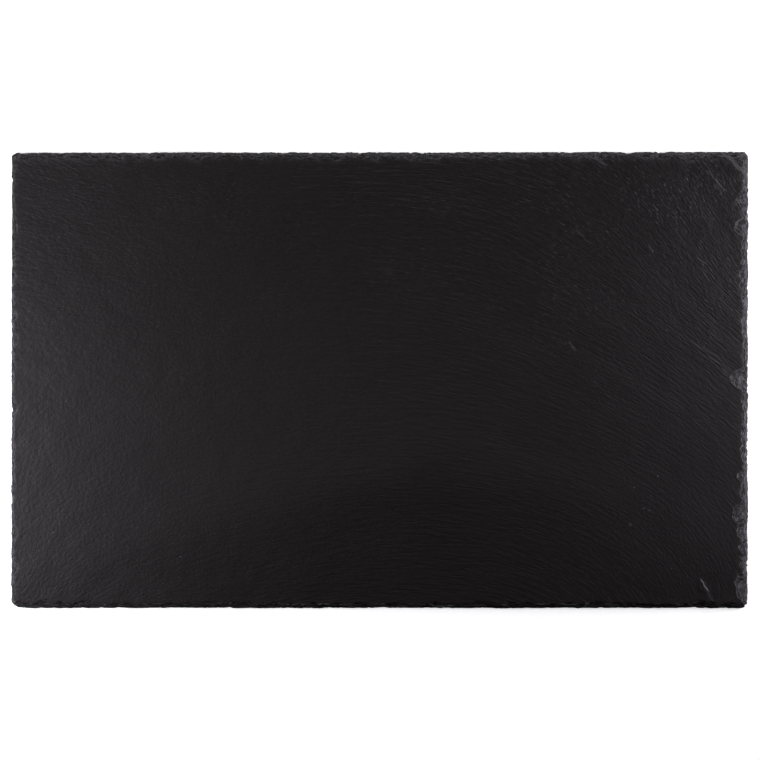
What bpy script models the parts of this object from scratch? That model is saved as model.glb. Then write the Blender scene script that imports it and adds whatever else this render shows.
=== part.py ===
"""Slate serving slab: one leaf of natural slate, riven on its face and dressed to a rectangle.

Metres, +Z up.  The origin is the middle of the underside, and the long side lies along X.

The slab is modelled as the stone is made, as a stack of thin beds.  Dressing the edge breaks scars
into it from the face side, and every bed ends where the scar that cuts deepest crosses it.  Rings of
points run round the slab, one at the bottom and one at the top of each bed's broken edge, and skins
between the rings make the stepped bevel.  The riven face closes the stack, and the underside is flat.
"""

import math
from dataclasses import dataclass

import bmesh
import bpy
import numpy as np

# Driving dimensions.
LENGTH = 0.5300
WIDTH = 0.3272
THICKNESS = 0.0070
BEDS = 4

# How far the corners of the hand-cut outline stand off a true rectangle, as (x, y).
OUT_OF_SQUARE = {
    "near_left": (-0.0001, -0.0001),
    "near_right": (-0.0002, -0.0002),
    "far_right": (0.0003, 0.0003),
    "far_left": (0.0003, -0.0002),
}
# Length of stone broken off each side at a corner.
CORNER_BREAK = {
    "near_left": 0.0049,
    "near_right": 0.0038,
    "far_right": 0.0032,
    "far_left": 0.0032,
}
CORNER_DEPTH = 0.42
CORNER_POWER = 1.3

# The band of rings round the face: its width, where its columns are halved, and the stretch at each
# corner over which they close up.
BAND = 0.0240
HALVING_INSET = 0.0165
CORNER_SPAN = 0.0900
HALF_STEP = 2
FACE_STEP = 4

# The broken edge.
BED_SETBACK = 0.45
BED_GAP = 0.06
SCAR_POWER = 1.4
BASE_ARRIS = 0.0007
OUTLINE_WANDER = 0.00025
BED_WANDER = 0.00022
WANDER_LENGTH = 0.0450
BED_WANDER_LENGTH = 0.0110

# The riven face.
SWELL_HEIGHT = 0.00034
SWELL_LENGTH = 0.1300
SWELL_WIDTH = 0.0620
RIPPLE_HEIGHT = 0.00012
RIPPLE_LENGTH = 0.0500
RIPPLE_WIDTH = 0.0230

SEED = 27
LATTICE = 64

SLATE_COLOUR = (0.013, 0.012, 0.013, 1.0)
SLATE_ROUGHNESS = 0.55


@dataclass(frozen=True)
class Chip:
    """One large scar: where it is along its side, its half width, its reach inwards and its depth."""

    place: float
    half_width: float
    reach: float
    depth: float


@dataclass(frozen=True)
class Side:
    """One dressed side: its mesh columns, its plain bevel, its spacing of small chips and its large chips."""

    start: str
    end: str
    columns: int
    reach: float
    foot: float
    chip_spacing: float
    chips: tuple


@dataclass(frozen=True)
class Scarp:
    """The edge of a thin leaf missing from the face: its middle, its heading and how the drop fades."""

    x: float
    y: float
    heading: float
    half_length: float
    drop: float
    fade: float


SIDES = (
    Side(
        start="near_left", end="near_right", columns=112, reach=0.0038, foot=0.0020, chip_spacing=0.0150,
        chips=(
            Chip(place=-0.2400, half_width=0.0110, reach=0.0056, depth=0.0040),
            Chip(place=-0.2040, half_width=0.0090, reach=0.0052, depth=0.0036),
            Chip(place=-0.1760, half_width=0.0080, reach=0.0050, depth=0.0036),
            Chip(place=0.0740, half_width=0.0120, reach=0.0058, depth=0.0040),
            Chip(place=0.2330, half_width=0.0090, reach=0.0060, depth=0.0042),
        ),
    ),
    Side(
        start="near_right", end="far_right", columns=88, reach=0.0026, foot=0.0022, chip_spacing=0.0130,
        chips=(
            Chip(place=-0.1530, half_width=0.0140, reach=0.0086, depth=0.0046),
            Chip(place=-0.1350, half_width=0.0060, reach=0.0060, depth=0.0034),
            Chip(place=-0.1220, half_width=0.0080, reach=0.0058, depth=0.0040),
            Chip(place=-0.1070, half_width=0.0085, reach=0.0074, depth=0.0036),
            Chip(place=-0.0960, half_width=0.0085, reach=0.0122, depth=0.0044),
            Chip(place=-0.0680, half_width=0.0060, reach=0.0074, depth=0.0040),
            Chip(place=-0.0410, half_width=0.0065, reach=0.0052, depth=0.0036),
            Chip(place=-0.0060, half_width=0.0070, reach=0.0062, depth=0.0034),
            Chip(place=0.0020, half_width=0.0080, reach=0.0104, depth=0.0044),
            Chip(place=0.0160, half_width=0.0055, reach=0.0050, depth=0.0032),
            Chip(place=0.0420, half_width=0.0050, reach=0.0050, depth=0.0036),
            Chip(place=0.0590, half_width=0.0045, reach=0.0044, depth=0.0032),
            Chip(place=0.0760, half_width=0.0045, reach=0.0058, depth=0.0036),
            Chip(place=0.0830, half_width=0.0045, reach=0.0052, depth=0.0030),
            Chip(place=0.0930, half_width=0.0055, reach=0.0052, depth=0.0036),
            Chip(place=0.1130, half_width=0.0072, reach=0.0084, depth=0.0046),
            Chip(place=0.1220, half_width=0.0045, reach=0.0052, depth=0.0032),
            Chip(place=0.1320, half_width=0.0070, reach=0.0078, depth=0.0040),
        ),
    ),
    Side(
        start="far_right", end="far_left", columns=112, reach=0.0036, foot=0.0018, chip_spacing=0.0140,
        chips=(
            Chip(place=0.2250, half_width=0.0110, reach=0.0062, depth=0.0040),
            Chip(place=0.1600, half_width=0.0095, reach=0.0064, depth=0.0042),
            Chip(place=0.0880, half_width=0.0090, reach=0.0054, depth=0.0038),
            Chip(place=0.0410, half_width=0.0075, reach=0.0062, depth=0.0036),
            Chip(place=0.0220, half_width=0.0085, reach=0.0066, depth=0.0040),
            Chip(place=-0.0900, half_width=0.0090, reach=0.0050, depth=0.0036),
        ),
    ),
    Side(
        start="far_left", end="near_left", columns=88, reach=0.0024, foot=0.0024, chip_spacing=0.0140,
        chips=(
            Chip(place=0.1100, half_width=0.0075, reach=0.0050, depth=0.0034),
            Chip(place=0.0740, half_width=0.0060, reach=0.0046, depth=0.0032),
            Chip(place=0.0470, half_width=0.0070, reach=0.0054, depth=0.0034),
            Chip(place=0.0280, half_width=0.0065, reach=0.0054, depth=0.0034),
            Chip(place=-0.0230, half_width=0.0080, reach=0.0050, depth=0.0036),
            Chip(place=-0.1370, half_width=0.0080, reach=0.0066, depth=0.0038),
        ),
    ),
)

SCARPS = (
    Scarp(x=0.2560, y=0.1560, heading=-39.0, half_length=0.0170, drop=0.0011, fade=0.0300),
    Scarp(x=0.1570, y=0.1570, heading=-31.0, half_length=0.0080, drop=0.0005, fade=0.0060),
    Scarp(x=0.2350, y=-0.1505, heading=-68.0, half_length=0.0090, drop=0.0005, fade=0.0080),
)


def lattice_noise(u, v, seed):
    """Smooth noise from -1 to 1: values at whole numbers of u and v, joined by smoothstep blends."""
    lattice = np.random.default_rng(seed).uniform(-1.0, 1.0, (LATTICE, LATTICE))
    column = np.floor(u).astype(int)
    row = np.floor(v).astype(int)
    blend_u = u - column
    blend_v = v - row
    blend_u = blend_u * blend_u * (3.0 - 2.0 * blend_u)
    blend_v = blend_v * blend_v * (3.0 - 2.0 * blend_v)
    column %= LATTICE
    row %= LATTICE
    next_column = (column + 1) % LATTICE
    next_row = (row + 1) % LATTICE
    low = lattice[row, column] * (1.0 - blend_u) + lattice[row, next_column] * blend_u
    high = lattice[next_row, column] * (1.0 - blend_u) + lattice[next_row, next_column] * blend_u
    return low * (1.0 - blend_v) + high * blend_v


def scarp_drop(x, y):
    """How far the face is let down by the missing leaves: sharp on one side of each scarp, faded on the other."""
    drop = np.zeros_like(x)
    for scarp in SCARPS:
        along_x = math.cos(math.radians(scarp.heading))
        along_y = math.sin(math.radians(scarp.heading))
        along = (x - scarp.x) * along_x + (y - scarp.y) * along_y
        beyond = (y - scarp.y) * along_x - (x - scarp.x) * along_y
        window = np.exp(-((along / scarp.half_length) ** 4))
        drop += scarp.drop * window * np.where(beyond > 0.0, np.exp(-beyond / scarp.fade), 0.0)
    return drop


def face_height(x, y):
    """Height of the riven face: long swells and shorter ripples, drawn out along X, less the scarps' drop."""
    swell = lattice_noise(x / SWELL_LENGTH, y / SWELL_WIDTH, SEED + 1)
    ripple = lattice_noise(x / RIPPLE_LENGTH, y / RIPPLE_WIDTH, SEED + 2)
    return THICKNESS + SWELL_HEIGHT * swell + RIPPLE_HEIGHT * ripple - scarp_drop(x, y)


def corner_point(name):
    """The corner of the outline called name, before its tip is broken off."""
    sign_x = -1.0 if "left" in name else 1.0
    sign_y = -1.0 if "near" in name else 1.0
    off_x, off_y = OUT_OF_SQUARE[name]
    return np.array([sign_x * LENGTH / 2 + off_x, sign_y * WIDTH / 2 + off_y])


def close_up(value, half):
    """Draws a coordinate in by the band's width, all of it within the corner span at each end."""
    ramp = np.clip((np.abs(value) - (half - CORNER_SPAN)) / CORNER_SPAN, 0.0, 1.0)
    return value - np.sign(value) * BAND * ramp * ramp * (3.0 - 2.0 * ramp)


def scar_contour(offset, half_width, reach, depth, drop):
    """How far in a bowl-shaped scar crosses the level that lies drop below the face.

    The scar's floor is depth below the face at the outline, and rises to the face at reach.  Its
    plan is half an ellipse, offset columns away from its middle.
    """
    level = np.clip(1.0 - drop / depth, 0.0, None) ** (1.0 / SCAR_POWER)
    inside = level**2 - (offset / half_width) ** 2
    return reach * np.sqrt(np.clip(inside, 0.0, None))


def side_rows(side, seed):
    """Columns of one side: outline points, band points, and how far in each bed's edge is broken."""
    share = np.arange(side.columns) / side.columns
    start = corner_point(side.start)
    end = corner_point(side.end)
    outline = start + (end - start) * share[:, None]
    nominal_start = np.sign(start) * (LENGTH / 2, WIDTH / 2)
    nominal_end = np.sign(end) * (LENGTH / 2, WIDTH / 2)
    nominal = nominal_start + (nominal_end - nominal_start) * share[:, None]
    band = np.column_stack([close_up(nominal[:, 0], LENGTH / 2), close_up(nominal[:, 1], WIDTH / 2)])

    run = 0 if abs(end[0] - start[0]) > abs(end[1] - start[1]) else 1
    place = nominal[:, run]
    rng = np.random.default_rng(seed)
    span = abs(end[run] - start[run])
    count = int(span / side.chip_spacing)
    small = [
        Chip(
            place=-span / 2 + span * (index + rng.uniform(0.2, 0.8)) / count,
            half_width=side.chip_spacing * rng.uniform(0.35, 0.75),
            reach=side.reach * rng.uniform(1.1, 1.5),
            depth=THICKNESS * rng.uniform(0.35, 0.62),
        )
        for index in range(count)
    ]

    setbacks = []
    for bed in range(BEDS):
        drop = THICKNESS * (1.0 - (bed + 0.5) / BEDS)
        bevel = np.clip(1.0 - drop / (THICKNESS - side.foot), 0.0, None) ** (1.0 / SCAR_POWER)
        setback = np.full(side.columns, side.reach * bevel)
        for chip in small + list(side.chips):
            contour = scar_contour(place - chip.place, chip.half_width, chip.reach, chip.depth, drop)
            setback = np.maximum(setback, contour)
        setback += BED_WANDER * lattice_noise(place / BED_WANDER_LENGTH, np.full_like(place, bed), seed + 1)
        setbacks.append(setback)
    wander = OUTLINE_WANDER * (1.0 + lattice_noise(place / WANDER_LENGTH, np.zeros_like(place), seed + 2)) / 2
    return outline, band, np.array(setbacks) + wander + corner_cut(side, share * span, span)


def corner_cut(side, run, span):
    """How far in the tips broken off a side's two corners move its outline, run metres along it."""
    cut = np.zeros_like(run)
    for name, distance in ((side.start, run), (side.end, span - run)):
        leg = CORNER_BREAK[name]
        cut += CORNER_DEPTH * leg * np.clip(1.0 - distance / leg, 0.0, None) ** CORNER_POWER
    return cut


@dataclass(frozen=True)
class Rim:
    """The columns that run round the slab: each from its outline point to its point on the band's inner edge."""

    outline: np.ndarray
    band: np.ndarray

    def ring(self, bm, inwards, share, step=1):
        """Adds a ring of points, inwards metres in from the outline and at a share of the face's height."""
        start = self.outline[::step]
        places = start + (self.band[::step] - start) * (inwards / BAND)[:, None]
        heights = share * face_height(places[:, 0], places[:, 1])
        return [bm.verts.new((x, y, z)) for (x, y), z in zip(places, heights)]


def skin(bm, lower, upper):
    """Joins two rings of as many points with a strip of faces that look outwards."""
    count = len(lower)
    for index in range(count):
        after = (index + 1) % count
        bm.faces.new((lower[index], lower[after], upper[after], upper[index]))


def halving_skin(bm, outer, inner):
    """Joins a ring to one with half its points, three triangles to each pair of columns."""
    count = len(inner)
    for index in range(count):
        after = (index + 1) % count
        first = outer[2 * index]
        middle = outer[2 * index + 1]
        last = outer[(2 * index + 2) % len(outer)]
        bm.faces.new((first, middle, inner[index]))
        bm.faces.new((middle, inner[after], inner[index]))
        bm.faces.new((middle, last, inner[after]))


def fill_face(bm, rim, lines_x, lines_y):
    """Fills the face inside the band with a grid whose outer points are the rim's."""
    columns = len(lines_x)
    rows = len(lines_y)
    grid = {}
    for index in range(columns - 1):
        grid[index, 0] = rim[index]
        grid[columns - 1 - index, rows - 1] = rim[columns - 1 + rows - 1 + index]
    for index in range(rows - 1):
        grid[columns - 1, index] = rim[columns - 1 + index]
        grid[0, rows - 1 - index] = rim[2 * (columns - 1) + rows - 1 + index]
    inner_x, inner_y = np.meshgrid(lines_x[1:-1], lines_y[1:-1], indexing="ij")
    heights = face_height(inner_x, inner_y)
    for column in range(1, columns - 1):
        for row in range(1, rows - 1):
            height = heights[column - 1, row - 1]
            grid[column, row] = bm.verts.new((lines_x[column], lines_y[row], height))
    for column in range(columns - 1):
        for row in range(rows - 1):
            corners = ((column, row), (column + 1, row), (column + 1, row + 1), (column, row + 1))
            bm.faces.new([grid[corner] for corner in corners])


def build_slab(bm):
    """Stacks the beds' broken edges, closes the underside and lays the riven face over them."""
    rows = [side_rows(side, SEED + 10 * number) for number, side in enumerate(SIDES, start=1)]
    rim = Rim(np.concatenate([row[0] for row in rows]), np.concatenate([row[1] for row in rows]))
    setbacks = np.concatenate([row[2] for row in rows], axis=1)
    slope = BED_SETBACK * THICKNESS / BEDS

    below = rim.ring(bm, setbacks[0] + BASE_ARRIS, 0.0)
    bm.faces.new(list(reversed(below)))
    for number, setback in enumerate(setbacks):
        foot = rim.ring(bm, setback, (number + BED_GAP) / BEDS if number else BASE_ARRIS / THICKNESS)
        skin(bm, below, foot)
        head = rim.ring(bm, setback + slope, (number + 1) / BEDS)
        skin(bm, foot, head)
        below = head

    lip = setbacks[-1] + slope
    middle = rim.ring(bm, (lip + HALVING_INSET) / 2, 1.0)
    skin(bm, below, middle)
    halved = rim.ring(bm, np.full(len(lip) // HALF_STEP, HALVING_INSET), 1.0, HALF_STEP)
    halving_skin(bm, middle, halved)
    inner = rim.ring(bm, np.full(len(lip) // FACE_STEP, BAND), 1.0, FACE_STEP)
    halving_skin(bm, halved, inner)
    near = SIDES[0].columns
    right = SIDES[1].columns
    lines_x = rim.band[0 : near + 1 : FACE_STEP, 0]
    lines_y = rim.band[near : near + right + 1 : FACE_STEP, 1]
    fill_face(bm, inner, lines_x, lines_y)


def slate():
    """The slab's one material: near-black slate with a dull, even surface."""
    material = bpy.data.materials.new("slate")
    material.use_nodes = True
    shader = material.node_tree.nodes["Principled BSDF"]
    shader.inputs["Base Color"].default_value = SLATE_COLOUR
    shader.inputs["Roughness"].default_value = SLATE_ROUGHNESS
    shader.inputs["Metallic"].default_value = 0.0
    return material


def main():
    """Clears the scene and models the slab."""
    for thing in list(bpy.data.objects):
        bpy.data.objects.remove(thing, do_unlink=True)
    mesh = bpy.data.meshes.new("slate_slab")
    bm = bmesh.new()
    build_slab(bm)
    bm.to_mesh(mesh)
    bm.free()
    mesh.materials.append(slate())
    slab = bpy.data.objects.new("slate_slab", mesh)
    bpy.context.scene.collection.objects.link(slab)


main()
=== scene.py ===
"""Slate serving slab, finished: one riven leaf of near-black slate with hand-dressed, flaking edges.

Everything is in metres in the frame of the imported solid: +Z up, the origin in the middle of the
underside, the long side along X.  The slab is one closed mesh, worked out as whole arrays.  Columns run
round the outline, rings of them climb the broken beds of the edge and cross a band of the face, and
grids close the riven face and the underside.
"""

import functools
import logging
import math
from dataclasses import dataclass, field
from enum import Enum, IntEnum
from collections.abc import Callable
from typing import Any, Union

import bpy
import numpy as np
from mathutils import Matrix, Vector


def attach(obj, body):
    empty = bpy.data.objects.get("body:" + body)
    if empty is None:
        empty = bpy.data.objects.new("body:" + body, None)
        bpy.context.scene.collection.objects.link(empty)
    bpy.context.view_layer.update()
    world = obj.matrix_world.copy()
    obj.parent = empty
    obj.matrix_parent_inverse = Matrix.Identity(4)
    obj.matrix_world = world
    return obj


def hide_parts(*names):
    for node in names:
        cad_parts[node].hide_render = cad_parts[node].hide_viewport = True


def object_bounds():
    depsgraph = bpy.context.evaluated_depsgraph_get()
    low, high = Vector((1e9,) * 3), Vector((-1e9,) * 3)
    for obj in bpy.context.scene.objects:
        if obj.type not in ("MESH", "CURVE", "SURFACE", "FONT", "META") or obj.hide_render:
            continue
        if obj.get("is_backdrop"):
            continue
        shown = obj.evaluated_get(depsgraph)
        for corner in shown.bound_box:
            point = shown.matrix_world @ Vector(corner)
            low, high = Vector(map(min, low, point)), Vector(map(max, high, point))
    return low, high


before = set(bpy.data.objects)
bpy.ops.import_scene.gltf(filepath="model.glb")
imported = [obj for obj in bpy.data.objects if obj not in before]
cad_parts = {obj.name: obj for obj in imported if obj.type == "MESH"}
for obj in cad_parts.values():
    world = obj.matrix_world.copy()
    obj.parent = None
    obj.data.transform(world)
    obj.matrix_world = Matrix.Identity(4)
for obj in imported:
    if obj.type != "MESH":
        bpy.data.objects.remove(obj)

LOG = logging.getLogger("slate_slab")
NODE = "slate_slab"
WHITE = (1.0, 1.0, 1.0, 1.0)

Array = np.ndarray
Height = Callable[[Array, Array], Array]
Socket = bpy.types.NodeSocket
Source = Union[float, Socket]
Name = Union[int, str]
Span = tuple[float, float]
Colour = tuple[float, float, float, float]
Marks = tuple[Source, Source]


class Corner(Enum):
    """The four corners of the outline, as signs of X and Y."""

    NEAR_LEFT = (-1.0, -1.0)
    NEAR_RIGHT = (1.0, -1.0)
    FAR_RIGHT = (1.0, 1.0)
    FAR_LEFT = (-1.0, 1.0)


class Draw(IntEnum):
    """What each draw of the whole slab adds to its seed."""

    SWELL = 1
    RIPPLE = 2
    DAPPLE = 3
    WARP = 4
    BEDS = 5
    SCALES = 6
    UNDERSIDE = 8
    TREADS = 9
    RIM = 10
    PAINTED_REFLECTION = 11
    SCARPS = 30


class SideDraw(IntEnum):
    """What each draw of one side adds to the side's own seed."""

    BED_WANDER = 1
    DRIFT = 2
    LEVELS = 3
    NIBBLE = 5
    BITES = 6
    SCARS = 7
    OUTLINE = 8


@dataclass(frozen=True)
class Chip:
    """One scar on a side: its place along it, half width, reach inwards and depth, in metres."""

    place: float
    half_width: float
    reach: float
    depth: float


@dataclass(frozen=True)
class Scarp:
    """The edge of a thin leaf missing from the face: middle, heading in degrees, length, drop and fade."""

    x: float
    y: float
    heading: float
    half_length: float
    drop: float
    fade: float


@dataclass(frozen=True)
class Pit:
    """A small bruise in the face: where it is, how wide and how deep, and how pale its floor is; a broad one
    that barely sinks is a pale smudge painted as a highlight.
    """

    x: float
    y: float
    radius: float
    depth: float
    paleness: float


@dataclass(frozen=True)
class LeafEdge:
    """The step where a paper-thin leaf of the face ends, and how pale its brink is: partly bruised stone,
    partly a painted highlight on the step.
    """

    x: float
    y: float
    heading: float
    half_length: float
    height: float
    paleness: float


@dataclass(frozen=True)
class GrainGuide:
    """The heading of the wrinkles at one place on the face, in degrees from +X towards +Y."""

    x: float
    y: float
    heading: float


@dataclass(frozen=True)
class Side:
    """One dressed side: corners, mesh columns, plain bevel, freshness and painted light, small chips'
    spacing, large chips.
    """

    start: Corner
    end: Corner
    columns: int
    reach: float
    foot: float
    freshness_and_painted_light: float
    chip_spacing: float
    chips: tuple[Chip, ...]


@dataclass(frozen=True)
class SideRun:
    """One side laid out: its columns' places about its middle, metres run from its start, length and seed."""

    side: Side
    place: Array
    metres: Array
    span: float
    seed: int


class SeededNoise:
    """Smooth noise on a lattice of seeded values."""

    LATTICE = 64

    def __init__(self, seed: int) -> None:
        """Draws the lattice's values from -1 to 1."""
        self.values = np.random.default_rng(seed).uniform(-1.0, 1.0, (self.LATTICE, self.LATTICE))

    def at(self, u: Array, v: Union[float, Array]) -> Array:
        """Reads the noise: lattice values at whole numbers of u and v, joined by smoothstep blends.

        Args:
            u: coordinates along the lattice's columns.
            v: coordinates along its rows, of a shape that goes with u's, or one number.

        Returns:
            Values from -1 to 1.
        """
        u, v = np.broadcast_arrays(np.asarray(u, dtype=float), np.asarray(v, dtype=float))
        column = np.floor(u).astype(int)
        row = np.floor(v).astype(int)
        blend_u = smoothstep(u - column)
        blend_v = smoothstep(v - row)
        column = column % self.LATTICE
        row = row % self.LATTICE
        next_column = (column + 1) % self.LATTICE
        next_row = (row + 1) % self.LATTICE
        low = self.values[row, column] * (1.0 - blend_u) + self.values[row, next_column] * blend_u
        high = self.values[next_row, column] * (1.0 - blend_u) + self.values[next_row, next_column] * blend_u
        return low * (1.0 - blend_v) + high * blend_v


def smoothstep(share: Array) -> Array:
    """Eases a share from 0 to 1: three times its square less twice its cube, held at both ends."""
    held = np.clip(share, 0.0, 1.0)
    return held * held * (3.0 - 2.0 * held)


@dataclass(frozen=True)
class Grain:
    """The run of the wrinkles: level in the middle, turning down to the right and fanning out at the left."""

    order: int = 5
    span: float = 0.26
    unit_weight: float = 0.45
    guides: tuple[GrainGuide, ...] = (
        GrainGuide(-0.245, 0.150, -14.0),
        GrainGuide(-0.205, 0.115, -16.0),
        GrainGuide(-0.205, 0.030, -4.0),
        GrainGuide(-0.205, -0.050, 18.0),
        GrainGuide(-0.135, 0.115, -8.0),
        GrainGuide(-0.135, 0.030, 0.0),
        GrainGuide(-0.135, -0.060, 18.0),
        GrainGuide(-0.135, -0.130, 24.0),
        GrainGuide(-0.220, -0.130, 36.0),
        GrainGuide(-0.065, 0.115, -8.0),
        GrainGuide(-0.065, 0.030, 4.0),
        GrainGuide(-0.065, -0.115, 8.0),
        GrainGuide(0.008, 0.115, -10.0),
        GrainGuide(0.008, 0.000, -3.0),
        GrainGuide(0.008, -0.115, 5.0),
        GrainGuide(0.080, 0.140, -22.0),
        GrainGuide(0.080, 0.057, -21.0),
        GrainGuide(0.080, 0.000, -15.0),
        GrainGuide(0.080, -0.058, -10.0),
        GrainGuide(0.080, -0.130, -4.0),
        GrainGuide(0.152, 0.145, -38.0),
        GrainGuide(0.152, 0.086, -39.0),
        GrainGuide(0.152, 0.029, -36.0),
        GrainGuide(0.152, -0.030, -19.0),
        GrainGuide(0.152, -0.115, -20.0),
        GrainGuide(0.224, 0.145, -56.0),
        GrainGuide(0.224, 0.086, -51.0),
        GrainGuide(0.224, 0.029, -41.0),
        GrainGuide(0.224, -0.030, -34.0),
        GrainGuide(0.224, -0.070, -42.0),
        GrainGuide(0.224, -0.130, -60.0),
    )

    def powers(self) -> list[tuple[int, int]]:
        """The exponents of X and Y in each term, from the first to the highest order."""
        return [(i, total - i) for total in range(1, self.order + 1) for i in range(total, -1, -1)]

    def slopes(self, x: Array, y: Array) -> tuple[Array, Array]:
        """Each term's slope along X and along Y, as two arrays of points by terms.

        Args:
            x: places along X, in spans.
            y: places along Y, in spans.

        Returns:
            The slopes along X and along Y.
        """
        along_x = [i * x ** max(i - 1, 0) * y**j for i, j in self.powers()]
        along_y = [j * x**i * y ** max(j - 1, 0) for i, j in self.powers()]
        return np.stack(along_x, axis=1), np.stack(along_y, axis=1)

    def terms(self, turn: float) -> Array:
        """Fits a coordinate that climbs fastest at the given turn from the wrinkles' heading.

        The coordinate is a polynomial of X and Y.  By least squares, its slope across that direction
        is nought at every guide, and its slope along it is one, which counts for less.

        Args:
            turn: 0 for the coordinate along the wrinkles, 90 for the one across them.

        Returns:
            The weight of each term.
        """
        x = np.array([guide.x for guide in self.guides]) / self.span
        y = np.array([guide.y for guide in self.guides]) / self.span
        heading = np.radians([guide.heading + turn for guide in self.guides])
        slope_x, slope_y = self.slopes(x, y)
        cos = np.cos(heading)[:, None]
        sin = np.sin(heading)[:, None]
        stray = slope_y * cos - slope_x * sin
        climb = (slope_x * cos + slope_y * sin) * self.unit_weight
        wanted = np.concatenate([np.zeros(len(x)), np.full(len(x), self.unit_weight)])
        return np.linalg.lstsq(np.concatenate([stray, climb]), wanted, rcond=None)[0]

    def coordinates(self, x: Array, y: Array) -> tuple[Array, Array]:
        """Reads the coordinates along and across the wrinkles, in metres.

        Args:
            x: places along X in metres.
            y: places along Y in metres.

        Returns:
            The two coordinates at each place.
        """
        across_x = x / self.span
        across_y = y / self.span
        powers = np.stack([across_x**i * across_y**j for i, j in self.powers()], axis=-1)
        return powers @ self.terms(0.0) * self.span, powers @ self.terms(90.0) * self.span


@dataclass(frozen=True)
class PaintedReflection:
    """A painted reflection over the middle of the face, standing in for a softbox's broad pale sheen: a firm,
    arched brow to the front, soft elsewhere.
    """

    seed: int = 27
    brow_x: float = 0.0357
    brow_y: float = -0.0680
    lean: float = 0.28
    rounding: float = 0.0343
    brow_width: float = 0.0380
    brow_wander: float = 0.0050
    wander_length: float = 0.0350
    depth: float = 0.1550
    middle: float = -0.0210
    half_length: float = 0.1970

    def share(self, x: Array, y: Array) -> Array:
        """How much of the painted reflection lies at each place.

        The brow is one branch of a hyperbola.  Behind it the painted reflection fades as a bell curve of the
        distance, and as another of the distance from its middle along X.

        Args:
            x: places along X in metres.
            y: places along Y in metres.

        Returns:
            Shares from 0 to 1.
        """
        brow = self.brow_y - self.lean * (np.hypot(x - self.brow_x, self.rounding) - self.rounding)
        wander = SeededNoise(self.seed + Draw.PAINTED_REFLECTION).at(x / self.wander_length, y / self.wander_length)
        behind = y - brow + self.brow_wander * wander
        firm = smoothstep(0.5 + behind / self.brow_width)
        fade = np.exp(-((np.clip(behind, 0.0, None) / self.depth) ** 2))
        return firm * fade * np.exp(-(((x - self.middle) / self.half_length) ** 2))


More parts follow.
